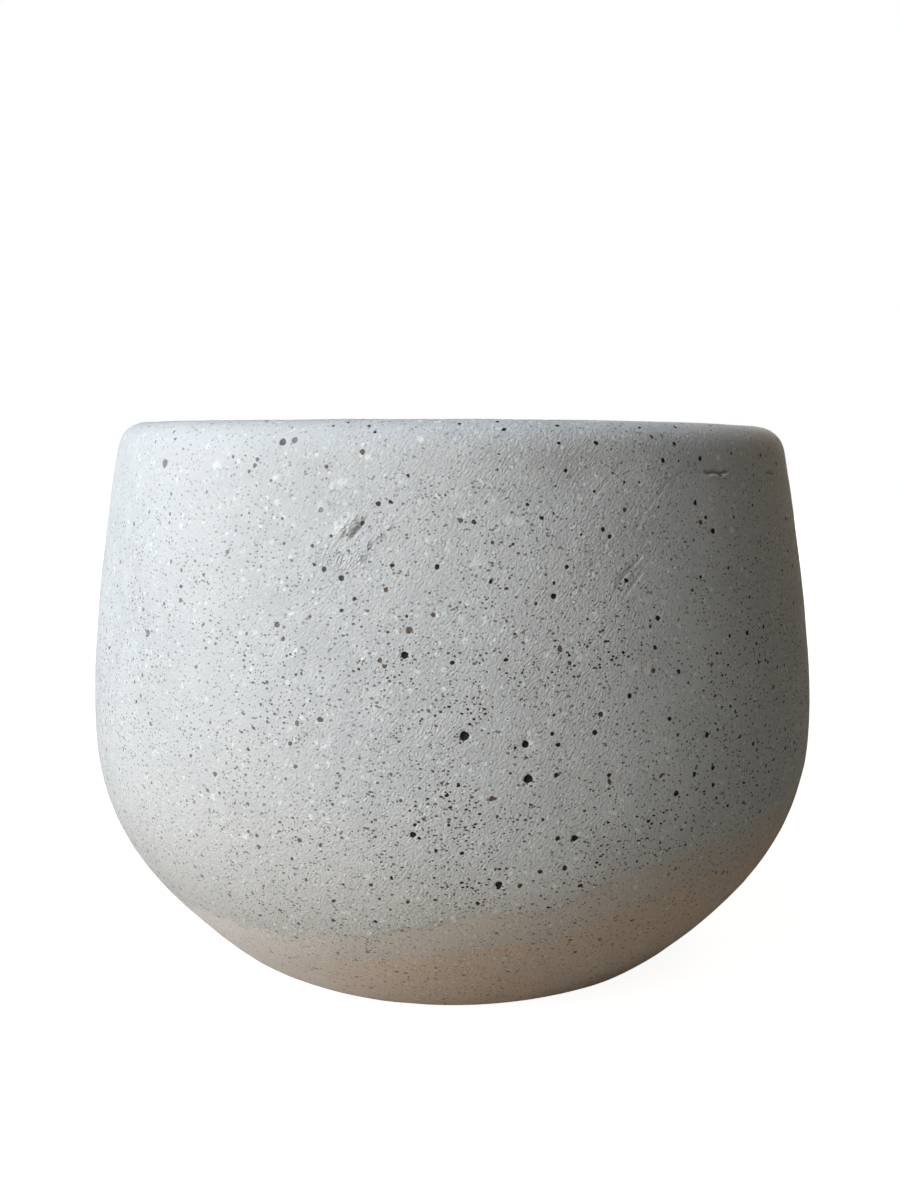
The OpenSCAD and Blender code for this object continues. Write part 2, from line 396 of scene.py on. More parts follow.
at = np.empty(len(pot_mesh.vertices) * 3)
pot_mesh.vertices.foreach_get("co", at)
at = at.reshape(-1, 3)
s = np.empty(len(at))
pot_mesh.attributes["row_place"].data.foreach_get("value", s)
turn = np.arctan2(at[:, 0], -at[:, 1])
height = at[:, 2]
side = np.stack([np.sin(turn), -np.cos(turn), np.zeros(len(at))], 1)
normal_rz = on_outline(outward, s)
normal = side * normal_rz[:, :1] + np.array([0, 0, 1.0]) * normal_rz[:, 1:]
on_outside = (s > along[foot_edge] - 1.0) & (s < along[crest])
on_inside = (s >= along[crest]) & (np.hypot(at[:, 0], at[:, 1]) > bore_r + 0.5)


def ease(low, high, value):
    """0 at low, 1 at high, and smooth between them."""
    t = np.clip((value - low) / (high - low), 0, 1)
    return t * t * (3 - 2 * t)


def clouds(points, pitch, seed):
    """Smooth noise between about -1 and 1, whose lumps are about one pitch across."""
    return np.array([noise.noise(p) for p in (points / pitch + seed * 17.3).tolist()])


# The slip was poured to a slanting, wavering line, and a thinner first coat to a lower one
front_x = belly_r / MM * np.sin(turn)
wavering = 1.1 * np.sin(2.3 * turn + 0.6) + 0.6 * np.sin(5.0 * turn + 2.0)
tongue = -2.6 * np.exp(-(((np.degrees(turn) - 12.5) / 5.0) ** 2))
line = 29.2 + 10.0 * np.tanh(front_x / 38) + tongue + np.where(np.abs(turn) > 0.8, 0.8, 0) * wavering
line_two = line - 6.6 - 1.2 * np.sin(3.0 * turn + 1.1)
hazy = 1 + 4.0 * ease(0.15, -0.45, turn) * ease(-2.4, -1.6, turn)
above_line = np.where(on_outside, (height - line) / hazy, np.where(on_inside, 20.0, -20.0))
above_two = np.where(on_outside, height - line_two, np.where(on_inside, 20.0, -20.0))

# The thrower's unevenness, in mm along the surface's normal, or upwards for the rim
OUT_OF_ROUND, RIM_DIP, FIRST_COAT, SECOND_COAT = 0.30, 1.25, 0.03, 0.07
RING_DEPTH, RING_PITCH, TURNING_DEPTH, TURNING_PITCH = 0.26, 5.4, 0.07, 1.7
low_noise = clouds(at * (1, 1, 0.6), 46, 1)
lift = OUT_OF_ROUND * normal_rz[:, 0] * (np.cos(2 * turn + 0.7) * ease(30, 110, height) + low_noise)
uneven = 0.11 * clouds(at, 13, 2) + 0.045 * clouds(at, 5.2, 3) + 0.03 * clouds(at, 2.7, 4)
coats = SECOND_COAT * (ease(-0.8, 0.8, above_line) - 1) + FIRST_COAT * (ease(-1, 1, above_two) - 1)
lift += np.where(on_outside, uneven + coats, 0)
rings = np.sin(height / RING_PITCH * 2 * math.pi + 1.5 * low_noise + turn)
rings *= ease(18, 30, height) * ease(108, 98, height)
lift += np.where(on_inside, RING_DEPTH * rings + 0.08 * clouds(at, 8, 5), 0)
under = ~on_outside & ~on_inside & (height < 8)
from_axis = np.hypot(at[:, 0], at[:, 1])
lift += np.where(under, TURNING_DEPTH * np.sin(from_axis / TURNING_PITCH * 2 * math.pi), 0)
dip = -RIM_DIP * ease(0.62 * pot_top, pot_top, height) * np.clip(at[:, 0] / 72, 0, 1) ** 2

# What the marks do to the wall, and where their colours lie
spot, rust, veil = np.full(len(at), -1.0), np.zeros(len(at)), np.zeros(len(at))
for angle, high, width, brown, veiled in SPOTS:
    middle, right, up, _ = wall_point(angle, high)
    away = at - middle
    u, v = away @ right, away @ up
    ragged = 0.9 + 0.06 * np.sin(3 * np.arctan2(v, u) + angle) + 0.03 * np.sin(5 * np.arctan2(v, u) + high)
    inside_it = 1 - np.hypot(u, v) / (0.5 * width * ragged)
    near = on_outside & (inside_it > -1.2)
    rust[near] = brown
    veil[near] = veiled
    spot[near] = np.maximum(spot[near], inside_it[near])
    lift -= np.where(near, 0.16 * width * ease(-0.15, 0.55, inside_it) * (1 - 0.6 * brown), 0)

fleck = np.zeros(len(at))
for angle, high, width in FLECKS:
    middle, right, up, _ = wall_point(angle, high)
    far = np.hypot((at - middle) @ right, 1.3 * ((at - middle) @ up))
    fleck = np.maximum(fleck, on_outside * ease(0.62 * width, 0.36 * width, far))

crumbs = clouds(at, 0.9, 7) + 0.6 * clouds(at, 0.55, 8)
middle, right, up, _ = KNOCK
u, v = (at - middle) @ right, (at - middle) @ up
bent = u - 0.75 * v - 0.35 * crumbs
lump = on_outside * np.exp(-(((bent + 0.6) / 1.5) ** 2 + (v / 1.7) ** 2) ** 1.4)
scar = on_outside * np.exp(-(((bent - 1.25) / 0.42) ** 2 + ((v + 0.1) / 1.7) ** 4))
lift += 0.24 * lump * (1 + 1.6 * crumbs) - 0.42 * scar * (1 + 0.7 * crumbs)
middle, right, up, _ = ROUGH
u, v = (at - middle) @ right, (at - middle) @ up
patch = np.exp(-((u / 3.4) ** 2 + (v / 2.0) ** 2)) * on_outside
lift += patch * 0.12 * crumbs
start, end = RIDGE
way = (end - start) / np.linalg.norm(end - start)
t = (at - start) @ way  # how far along the fold, in mm
off = (at - start) @ np.cross(way, KNOCK[3]) + 0.45 * np.sin(t * 1.1) + 0.35 * clouds(at, 1.3, 10)
span = np.linalg.norm(end - start)
fold = on_outside * ease(-1.0, 1.0, t) * ease(span + 1.0, span - 1.0, t)
fold = fold * (0.55 + 0.45 * np.sin(t * 2.6 + 1.0))
lift += 0.07 * fold * np.exp(-((off / 0.8) ** 2)) - 0.13 * fold * np.exp(-(((off + 0.75) / 0.28) ** 2))
crumbly = np.clip(0.8 * patch + lump + 0.8 * scar + 0.6 * fold * np.exp(-((off / 0.9) ** 2)), 0, 1)
# Painted shade: the grooves of the scar and the fold, and the lines of the creases below, are darkened in the
# colour
painted_groove_shade = np.clip(0.55 * scar + 0.5 * fold * np.exp(-(((off + 0.75) / 0.28) ** 2)), 0, 1)
middle, right, up, _ = DENT
u, v = (at - middle) @ right, (at - middle) @ up
lift -= 0.60 * on_outside * np.exp(-(((u - 0.4 * v) / 13) ** 2 + ((v + 0.15 * u) / 6.0) ** 2))
for angle, high, width in CREASES:
    middle, right, up, _ = wall_point(angle, high)
    u, v = (at - middle) @ right, (at - middle) @ up
    v = v - 0.10 * u**2 / width + 0.12 * np.sin(u * 1.7)
    in_crease = on_outside * np.exp(-((2 * u / width) ** 4))
    painted_groove_shade = np.maximum(painted_groove_shade, in_crease * np.exp(-((v / 0.24) ** 2)))
    lift += in_crease * (-0.42 * np.exp(-((v / 0.28) ** 2)) + 0.16 * np.exp(-(((v + 0.75) / 0.5) ** 2)))

scratch, scratch_on = np.full(len(at), 2.0), np.zeros(len(at))
for strength, path in SCRATCHES:
    points = [wall_point(a, h)[0] for a, h in path]
    total = len(points) - 1
    for k, (a, b) in enumerate(zip(points[:-1], points[1:])):
        length = np.linalg.norm(b - a)
        way = (b - a) / length
        t = (at - a) @ way / length
        across = np.cross(way, wall_point(*path[k])[3])
        off = (at - a) @ across
        near = on_outside & (t > -0.04) & (t < 1.04) & (np.abs(off) < 1.6)
        near &= np.linalg.norm(at - a - np.outer(t * length, way), axis=1) < 2.0
        near &= np.abs(off) < np.abs(scratch)
        scratch[near] = off[near]
        scratch_on[near] = strength * (ease(0, 0.25, (k + t) / total) * ease(1, 0.6, (k + t) / total))[near]

lift -= 0.13 * scratch_on * np.exp(-((scratch / 0.20) ** 2))
lift += 0.06 * scratch_on * np.exp(-(((np.abs(scratch) - 0.50) / 0.22) ** 2))
moved = (at + normal * lift[:, None] + np.outer(dip, (0, 0, 1.0))) * MM
pot_mesh.vertices.foreach_set("co", moved.ravel())
pot_mesh.attributes.remove(pot_mesh.attributes["row_place"])
for name, values in {
    "above_line": above_line, "above_two": above_two, "spot": spot, "spot_rust": rust, "spot_veil": veil,
    "scratch": scratch, "scratch_on": scratch_on, "crumbly": crumbly, "fleck": fleck, "painted_groove_shade": painted_groove_shade,
}.items():
    layer = pot_mesh.attributes.new(name, "FLOAT", "POINT")
    layer.data.foreach_set("value", values.astype(np.float32))
pot_mesh.update()
pot_mesh.shade_smooth()

pot = bpy.data.objects.new("stoneware_pot", pot_mesh)
scene.collection.objects.link(pot)
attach(pot, "pot_body")
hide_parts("pot")

# ---- The pot: its look -------------------------------------------------------
# Matte grey-white slip over a warm buff clay full of iron grains, which melt
# through as fine dark and rusty specks beside paler flecks of feldspar. The slip
# has an orange-peel grain drawn upwards by the hand, and stops above the foot.


def new_group(name, inputs, outputs):
    """A shader node group with named inputs and outputs, and its two end nodes."""
    group = bpy.data.node_groups.new(name, "ShaderNodeTree")
    for label, kind, value in inputs:
        socket = group.interface.new_socket(label, in_out="INPUT", socket_type=kind)
        if value is not None:
            socket.default_value = value
    for label, kind in outputs:
        group.interface.new_socket(label, in_out="OUTPUT", socket_type=kind)
    return group, shader(group, "NodeGroupInput"), shader(group, "NodeGroupOutput")


def maths(tree, operation, *values, clamp=False):
    """A sum, product or other operation on values or sockets."""
    made = shader(tree, "ShaderNodeMath", dict(enumerate(values)), operation=operation, use_clamp=clamp)
    return made.outputs[0]


def ramp(tree, value, low, high):
    """0 where the value is at low, 1 where it is at high, which may be the smaller one."""
    made = shader(
        tree, "ShaderNodeMapRange",
        {"Value": value, "From Min": low, "From Max": high, "To Min": 0.0, "To Max": 1.0},
        interpolation_type="SMOOTHSTEP", clamp=True,
    )
    return made.outputs["Result"]


def span_of(tree, value, at_0, at_1, low=0.0, high=1.0):
    """The value's range from low to high, as a straight scale from at_0 to at_1."""
    made = shader(tree, "ShaderNodeMapRange", {
        "Value": value, "From Min": low, "From Max": high, "To Min": at_0, "To Max": at_1,
    })
    return made.outputs["Result"]


def vector(tree, operation, *values):
    """An operation on vectors, or on a vector and a scale."""
    made = shader(tree, "ShaderNodeVectorMath", operation=operation)
    for number, value in enumerate(values):
        name = "Scale" if operation == "SCALE" and number == 1 else number
        if isinstance(value, bpy.types.NodeSocket):
            tree.links.new(value, made.inputs[name])
        else:
            made.inputs[name].default_value = value
    return made.outputs[0]


def mix(tree, amount, a, b):
    """Colour b over colour a, by an amount."""
    made = shader(tree, "ShaderNodeMix", data_type="RGBA")
    for number, value in ((0, amount), (6, a), (7, b)):
        if isinstance(value, bpy.types.NodeSocket):
            tree.links.new(value, made.inputs[number])
        else:
            made.inputs[number].default_value = value if number == 0 or len(value) == 4 else (*value, 1)
    return made.outputs[2]


# Grains scattered through the clay: each cell of a loose lattice may hold one round grain
specks, given, result = new_group(
    "specks",
    [("Position", "NodeSocketVector", None), ("Spacing", "NodeSocketFloat", 2.0),
     ("Radius", "NodeSocketFloat", 0.3), ("Spread", "NodeSocketFloat", 0.5),
     ("Share", "NodeSocketFloat", 1.0), ("Softness", "NodeSocketFloat", 0.05)],
    [("Mask", "NodeSocketFloat"), ("Tone", "NodeSocketFloat")],
)
jagged = shader(specks, "ShaderNodeTexNoise", {
    "Vector": given.outputs["Position"], "Scale": 1.6, "Detail": 1.0,
})
shift = vector(specks, "SUBTRACT", jagged.outputs["Color"], (0.5, 0.5, 0.5))
shift = vector(specks, "SCALE", shift, given.outputs["Radius"])
bent = vector(specks, "ADD", given.outputs["Position"], shift)
lattice = vector(specks, "SCALE", bent, maths(specks, "DIVIDE", 1.0, given.outputs["Spacing"]))
cell = shader(specks, "ShaderNodeTexVoronoi", {"Vector": lattice, "Scale": 1.0, "Randomness": 1.0})
luck = shader(specks, "ShaderNodeSeparateColor", {"Color": cell.outputs["Color"]})
away = maths(specks, "MULTIPLY", cell.outputs["Distance"], given.outputs["Spacing"])
smaller = maths(specks, "MULTIPLY", given.outputs["Spread"], luck.outputs[1])
size = maths(specks, "MULTIPLY", given.outputs["Radius"], maths(specks, "SUBTRACT", 1.0, smaller))
disc = ramp(
    specks, away,
    maths(specks, "ADD", size, given.outputs["Softness"]),
    maths(specks, "SUBTRACT", size, given.outputs["Softness"]),
)
present = maths(specks, "LESS_THAN", luck.outputs[0], given.outputs["Share"])
specks.links.new(maths(specks, "MULTIPLY", disc, present), result.inputs["Mask"])
specks.links.new(luck.outputs[2], result.inputs["Tone"])

# The slip's orange-peel grain: small lumps, drawn out along a slant round the wall
grain, given, result = new_group(
    "slip_grain",
    [("Position", "NodeSocketVector", None), ("Pitch", "NodeSocketFloat", 1.1),
     ("Slant", "NodeSocketFloat", 0.006)],
    [("Height", "NodeSocketFloat")],
)
up_part = shader(grain, "ShaderNodeSeparateXYZ", {"Vector": given.outputs["Position"]}).outputs["Z"]
twisted = shader(grain, "ShaderNodeVectorRotate", {
    "Vector": given.outputs["Position"],
    "Axis": (0, 0, 1),
    "Angle": maths(grain, "MULTIPLY", up_part, maths(grain, "MULTIPLY", given.outputs["Slant"], -1.0)),
})
drawn = vector(grain, "MULTIPLY", twisted.outputs[0], (1.0, 1.0, 0.9))
drawn = vector(grain, "SCALE", drawn, maths(grain, "DIVIDE", 1.0, given.outputs["Pitch"]))
peel = shader(grain, "ShaderNodeTexNoise", {"Vector": drawn, "Scale": 1.0, "Detail": 2.5, "Roughness": 0.5})
grain.links.new(peel.outputs[0], result.inputs["Height"])

stoneware = bpy.data.materials.new("speckled_stoneware")
stoneware.use_nodes = True
tree = stoneware.node_tree
tree.nodes.clear()


def held(name):
    """What the mesh holds at each point under a name."""
    return shader(tree, "ShaderNodeAttribute", attribute_name=name, attribute_type="GEOMETRY").outputs["Fac"]


def grains(spacing, radius, spread, share, softness, offset, flatness=1.0):
    """A set of specks in the clay, as its mask and tone. The offset keeps two sets apart."""
    where = vector(tree, "ADD", position, (offset, offset, offset))
    where = vector(tree, "MULTIPLY", where, (1.0, 1.0, flatness))
    made = shader(tree, "ShaderNodeGroup", {
        "Position": where, "Spacing": spacing, "Radius": radius,
        "Spread": spread, "Share": share, "Softness": softness,
    }, node_tree=specks)
    return made.outputs["Mask"], made.outputs["Tone"]


def blotches(pitch, detail=2.0):
    """Smooth noise from 0 to 1, whose lumps are about one pitch across, in mm."""
    lumps = shader(tree, "ShaderNodeTexNoise", {"Vector": position, "Scale": 1 / pitch, "Detail": detail})
    return lumps.outputs[0]


position = vector(tree, "SCALE", shader(tree, "ShaderNodeTexCoord").outputs["Object"], 1 / MM)

slip_light, slip_grey = (0.690, 0.688, 0.703), (0.640, 0.639, 0.655)
clay_buff, clay_brown = (0.705, 0.618, 0.555), (0.775, 0.590, 0.475)
slip = mix(tree, ramp(tree, blotches(30), 0.35, 0.68), slip_grey, slip_light)
slip = mix(tree, ramp(tree, blotches(4.5), 0.40, 0.75), slip, (0.700, 0.697, 0.710))

wander = maths(tree, "MULTIPLY", maths(tree, "SUBTRACT", blotches(3.0, 3.0), 0.5), 2.4)
line_here = maths(tree, "ADD", held("above_line"), wander)
two_here = maths(tree, "ADD", held("above_two"), maths(tree, "MULTIPLY", wander, 2.0))
bare = ramp(tree, line_here, 0.35, -0.35)
thin = maths(tree, "MULTIPLY", ramp(tree, line_here, 11.0, 0.0), 0.30)
# Painted light: below the second line, where the first coat stops, the clay is painted a warmer brown for warm
# light thrown up from below
clay = mix(tree, ramp(tree, two_here, 1.6, -1.6), clay_buff, clay_brown)
clay = mix(tree, maths(tree, "MULTIPLY", ramp(tree, blotches(9), 0.45, 0.7), 0.35), clay, (0.66, 0.60, 0.54))
# Painted light: towards the left, where the window light falls, the bare clay is painted paler
left_side = ramp(tree, shader(tree, "ShaderNodeSeparateXYZ", {"Vector": position}).outputs["X"], 0.0, -48.0)
clay = mix(tree, maths(tree, "MULTIPLY", left_side, 0.85), clay, (0.86, 0.80, 0.79))
body = mix(tree, thin, slip, clay_buff)
body = mix(tree, bare, body, clay)

# How strongly the specks show: less in the bare clay, which is nearer their own colour, and less on the left,
# where the slip is thicker
through_slip = maths(tree, "SUBTRACT", 1.0, maths(tree, "MULTIPLY", left_side, 0.35))
shown = maths(tree, "MULTIPLY", span_of(tree, bare, 1.0, 0.62), through_slip)

# Pale feldspar, each set as spacing, radius, spread, share, softness, strength and offset
feldspar = (0.90, 0.92, 0.92)
for *kind, strength, offset in (
    (0.75, 0.24, 0.60, 0.85, 0.08, 0.50, 40),
    (1.45, 0.41, 0.62, 0.75, 0.10, 0.85, 80),
    (3.00, 0.56, 0.50, 0.65, 0.13, 0.95, 60),
):
    mask, tone = grains(*kind, offset)
    amount = maths(tree, "MULTIPLY", maths(tree, "MULTIPLY", mask, shown), strength)
    amount = maths(tree, "MULTIPLY", amount, maths(tree, "ADD", tone, 0.35), clamp=True)
    body = mix(tree, amount, body, feldspar)

# Iron, each set as spacing, radius, spread, share, softness, offset, flatness and whether it is crowded. The
# fine grains lie in loose crowds, and thin out towards the rim
iron, rusty = (0.024, 0.021, 0.019), (0.17, 0.095, 0.052)
level = shader(tree, "ShaderNodeSeparateXYZ", {"Vector": position}).outputs["Z"]
crowds = span_of(tree, blotches(14), 0.60, 1.0, low=0.35, high=0.58)
crowds = maths(tree, "MULTIPLY", crowds, span_of(tree, level, 0.50, 1.0, low=108.0, high=72.0))
for *kind, crowded in (
    (0.50, 0.18, 0.80, 0.58, 0.04, 0, 1.0, True),
    (1.05, 0.33, 0.75, 0.85, 0.04, 120, 1.5, True),
    (2.40, 0.45, 0.65, 0.75, 0.05, 160, 1.0, False),
):
    mask, tone = grains(*kind)
    if crowded:
        mask = maths(tree, "MULTIPLY", mask, crowds)
    colour = mix(tree, ramp(tree, tone, 0.62, 0.78), iron, rusty)
    body = mix(tree, maths(tree, "MULTIPLY", mask, shown), body, colour)

# Painted shade: the grooves of the scar, the fold and the creases turn dark in the colour
body = mix(tree, maths(tree, "MULTIPLY", held("painted_groove_shade"), 0.6), body, (0.16, 0.14, 0.12))
body = mix(tree, maths(tree, "MULTIPLY", held("fleck"), 0.8), body, (0.88, 0.90, 0.91))
unveiled = maths(tree, "SUBTRACT", 1.0, held("spot_veil"))
spot_edge = maths(tree, "MULTIPLY", ramp(tree, held("spot"), -0.06, 0.10), unveiled)
spot_colour = mix(tree, held("spot_rust"), (0.014, 0.013, 0.012), (0.125, 0.070, 0.040))
body = mix(tree, spot_edge, body, spot_colour)

scratch_line = ramp(tree, maths(tree, "ABSOLUTE", held("scratch")), 0.16, 0.05)
scratch_line = maths(tree, "MULTIPLY", scratch_line, held("scratch_on"))
body = mix(tree, maths(tree, "MULTIPLY", scratch_line, 0.6), body, (0.78, 0.78, 0.77))

peel_height = shader(tree, "ShaderNodeGroup", {"Position": position, "Pitch": 0.45}, node_tree=grain).outputs[0]
fine_height = shader(tree, "ShaderNodeGroup", {"Position": position, "Pitch": 0.27}, node_tree=grain).outputs[0]
relief = maths(tree, "ADD", peel_height, maths(tree, "MULTIPLY", fine_height, 0.45))
relief = maths(tree, "MULTIPLY", relief, span_of(tree, bare, 1.0, 0.55))
coarser = maths(tree, "ADD", 1.0, maths(tree, "MULTIPLY", held("crumbly"), 2.2))
relief = maths(tree, "MULTIPLY", relief, coarser)
relief = maths(tree, "ADD", relief, maths(tree, "MULTIPLY", scratch_line, 0.2))
relief = maths(tree, "SUBTRACT", relief, maths(tree, "MULTIPLY", bare, 0.15))
bump = shader(tree, "ShaderNodeBump", {"Height": relief, "Strength": 1.0, "Distance": 0.16 * MM})

roughness = span_of(tree, blotches(2.2, 3.0), 0.66, 0.86)
roughness = maths(tree, "ADD", roughness, maths(tree, "MULTIPLY", bare, 0.10), clamp=True)
surface = shader(tree, "ShaderNodeBsdfPrincipled", {
    "Base Color": body,
    "Roughness": roughness,
    "Specular IOR Level": 0.35,
    "Normal": bump.outputs[0],
})
shader(tree, "ShaderNodeOutputMaterial", {"Surface": surface.outputs[0]})
pot_mesh.materials.append(stoneware)

# ---- The drain plug ----------------------------------------------------------
# A stopper moulded in one from black rubber: a hollow body with two sealing
# grooves, a flange that meets the floor from below, and a bar across the
# hollow to pull it by. The rubber is dull, dusty and marked by the mould.


def rounded(points, radius, steps=4):
    """A half section whose corners are rounded off, by the radius or by what their sides allow."""
    eased = [points[0]]
    for before, corner, after in zip(points[:-2], points[1:-1], points[2:]):
        before, corner, after = Vector(before), Vector(corner), Vector(after)
        reach = min(radius, 0.45 * (before - corner).length, 0.45 * (after - corner).length)
        a = corner + (before - corner).normalized() * reach
        b = corner + (after - corner).normalized() * reach
        for k in range(steps + 1):
            t = k / steps
            eased.append(tuple(a * (1 - t) ** 2 + corner * 2 * t * (1 - t) + b * t * t))
    return eased + [points[-1]]


def turned(name, profile, columns, waver=0.0):
    """A closed mesh turned from a half section in mm that starts and ends on the axis."""
    points, faces = [(0, 0, profile[0][1] * MM)], []
    for r, z in profile[1:-1]:
        for k in range(columns):
            turn = 2 * math.pi * k / columns
            wide = r * (1 + waver * math.sin(2 * turn + 0.4)) * MM
            points.append((wide * math.cos(turn), wide * math.sin(turn), z * MM))
    points.append((0, 0, profile[-1][1] * MM))
    last = len(points) - 1
    for k in range(columns):
        on = (k + 1) % columns
        faces.append((0, 1 + k, 1 + on))
        for ring in range(len(profile) - 3):
            low, high = 1 + ring * columns, 1 + (ring + 1) * columns
            faces.append((low + k, high + k, high + on, low + on))
        faces.append((last, last - columns + on, last - columns + k))
    mesh = bpy.data.meshes.new(name)
    mesh.from_pydata(points, [], faces)
    fixed = bmesh.new()
    fixed.from_mesh(mesh)
    bmesh.ops.recalc_face_normals(fixed, faces=fixed.faces)
    fixed.to_mesh(mesh)
    fixed.free()
    return mesh


def stand_in(piece, node, body, look):
    """Puts a piece in a node's place, with its material, and hands it over."""
    piece.data.materials.clear()
    piece.data.materials.append(look)
    piece.data.shade_smooth()
    for face in piece.data.polygons:
        face.use_smooth = abs(face.normal.z) < 0.9999
    if piece.name not in scene.collection.objects:
        scene.collection.objects.link(piece)
    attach(piece, body)
    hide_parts(node)


PLUG_FIT, PLUG_WALL, PLUG_END, FLANGE_T, NOSE_BEVEL = 0.05, 2.2, 2.4, 2.6, 1.0
GROOVE_DEPTH, GROOVES_DOWN = 0.4, (1.9, 4.1)
plug_low, plug_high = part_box("drain_plug")
flange_r, flange_z, nose_z = plug_high.x / MM, plug_low.z / MM, plug_high.z / MM
body_r = bore_r - PLUG_FIT
hollow_r = body_r - PLUG_WALL
seat_z = flange_z + FLANGE_T
profile = [(0, nose_z), (body_r - NOSE_BEVEL, nose_z), (body_r, nose_z - NOSE_BEVEL)]
for down in GROOVES_DOWN:
    profile += [
        (body_r, nose_z - down), (body_r - GROOVE_DEPTH, nose_z - down - 0.2),
        (body_r - GROOVE_DEPTH, nose_z - down - 0.7), (body_r, nose_z - down - 0.9),
    ]
profile += [
    (body_r, seat_z), (flange_r - 1.2, seat_z), (flange_r - 0.9, seat_z - 0.25),
    (flange_r - 0.25, seat_z - 0.25), (flange_r, seat_z - 0.5), (flange_r, flange_z + 0.4),
    (flange_r - 0.3, flange_z), (flange_r - 2.2, flange_z), (flange_r - 2.5, flange_z + 0.25),
    (flange_r - 3.1, flange_z + 0.25), (flange_r - 3.4, flange_z), (hollow_r, flange_z),
    (hollow_r - 0.2, nose_z - PLUG_END), (0, nose_z - PLUG_END),
]
profile = rounded(profile, 0.35)
plug_mesh = turned("rubber_drain_plug", profile, 120)
bar_mesh = bpy.data.meshes.new("pull_bar")
bar = bmesh.new()
bmesh.ops.create_cube(bar, size=1.0)
BAR_WIDE, BAR_TALL, BAR_SUNK = 2.4, 2.0, 1.0
bmesh.ops.scale(bar, verts=bar.verts, vec=(2 * (hollow_r + BAR_SUNK) * MM, BAR_WIDE * MM, BAR_TALL * MM))
bmesh.ops.bevel(bar, geom=bar.edges[:], offset=0.55 * MM, segments=4, profile=0.5, affect="EDGES")
long_edges = [e for e in bar.edges if e.calc_length() > 5 * MM]
bmesh.ops.subdivide_edges(bar, edges=long_edges, cuts=15, use_grid_fill=True)
# The bar is thinnest at its middle and sags a little there
for vert in bar.verts:
    along_bar = vert.co.x / (hollow_r * MM)
    vert.co.y *= 0.86 + 0.20 * min(1.0, along_bar**2)
    sag = 0.12 * max(0.0, 1 - along_bar**2)
    vert.co.z += (BAR_TALL / 2 - sag + flange_z + 0.06) * MM
bar.to_mesh(bar_mesh)
bar.free()

wear, given, result = new_group(
    "moulded_wear",
    [("Position", "NodeSocketVector", None), ("Texture Pitch", "NodeSocketFloat", 0.35),
     ("Dust Share", "NodeSocketFloat", 0.5)],
    [("Height", "NodeSocketFloat"), ("Dust", "NodeSocketFloat"), ("Scuffs", "NodeSocketFloat")],
)
per_pitch = maths(wear, "DIVIDE", 1.0, given.outputs["Texture Pitch"])
fine = vector(wear, "SCALE", given.outputs["Position"], per_pitch)
sparkle = shader(wear, "ShaderNodeTexVoronoi", {"Vector": fine, "Scale": 1.0}, feature="SMOOTH_F1")
cloudy = shader(wear, "ShaderNodeTexNoise", {"Vector": given.outputs["Position"], "Scale": 0.35, "Detail": 5.0})
dust_low = maths(wear, "SUBTRACT", 0.72, maths(wear, "MULTIPLY", given.outputs["Dust Share"], 0.35))
dusty = ramp(wear, cloudy.outputs[0], dust_low, maths(wear, "ADD", dust_low, 0.25))
streak = shader(wear, "ShaderNodeVectorRotate", {
    "Vector": given.outputs["Position"], "Axis": (0, 0, 1), "Angle": 0.6,
})
streak = vector(wear, "MULTIPLY", streak.outputs[0], (0.35, 5.0, 1.2))
streaky = shader(wear, "ShaderNodeTexNoise", {"Vector": streak, "Scale": 1.0, "Detail": 2.0})
scuff = ramp(wear, streaky.outputs[0], 0.66, 0.74)
wear.links.new(sparkle.outputs["Distance"], result.inputs["Height"])
wear.links.new(dusty, result.inputs["Dust"])
wear.links.new(scuff, result.inputs["Scuffs"])


def moulded(name, base, dust_colour, pitch, dust_share, rough, depth, scuff_share):
    """A moulded rubber or plastic: a fine mould texture, settled dust and scuffs."""
    look = bpy.data.materials.new(name)
    look.use_nodes = True
    tree = look.node_tree
    tree.nodes.clear()
    where = vector(tree, "SCALE", shader(tree, "ShaderNodeTexCoord").outputs["Object"], 1 / MM)
    worn = shader(tree, "ShaderNodeGroup", {
        "Position": where, "Texture Pitch": pitch, "Dust Share": dust_share,
    }, node_tree=wear)
    shade = shader(tree, "ShaderNodeTexNoise", {"Vector": where, "Scale": 0.18, "Detail": 3.0}).outputs[0]
    colour = mix(tree, ramp(tree, shade, 0.3, 0.7), base, tuple(1.35 * c for c in base))
    colour = mix(tree, maths(tree, "MULTIPLY", worn.outputs["Dust"], 0.45), colour, dust_colour)
    colour = mix(tree, maths(tree, "MULTIPLY", worn.outputs["Scuffs"], scuff_share), colour, dust_colour)
    duller = maths(tree, "MULTIPLY", worn.outputs["Dust"], 0.18)
    shinier = maths(tree, "MULTIPLY", worn.outputs["Scuffs"], 0.10)
    dull = maths(tree, "ADD", rough, maths(tree, "SUBTRACT", duller, shinier), clamp=True)
    raised = shader(tree, "ShaderNodeBump", {
        "Height": worn.outputs["Height"], "Strength": 0.6, "Distance": depth * MM,
    })
    surface = shader(tree, "ShaderNodeBsdfPrincipled", {
        "Base Color": colour, "Roughness": dull, "Specular IOR Level": 0.45, "Normal": raised.outputs[0],
    })
    shader(tree, "ShaderNodeOutputMaterial", {"Surface": surface.outputs[0]})
    return look


plug = bpy.data.objects.new("rubber_drain_plug", plug_mesh)
bar = bpy.data.objects.new("pull_bar", bar_mesh)
scene.collection.objects.link(plug)
scene.collection.objects.link(bar)
joined = plug.modifiers.new("joined", "BOOLEAN")
joined.operation = "UNION"
joined.solver = "EXACT"
joined.object = bar
scene.view_layers[0].update()
plug.data = bpy.data.meshes.new_from_object(plug.evaluated_get(bpy.context.evaluated_depsgraph_get()))
plug.modifiers.clear()
bpy.data.objects.remove(bar)
plug_rubber = moulded(
    "black_rubber", base=(0.022, 0.022, 0.023), dust_colour=(0.20, 0.18, 0.155),
    pitch=0.40, dust_share=0.45, rough=0.62, depth=0.05, scuff_share=0.16,
)
stand_in(plug, "drain_plug", "plug_body", plug_rubber)
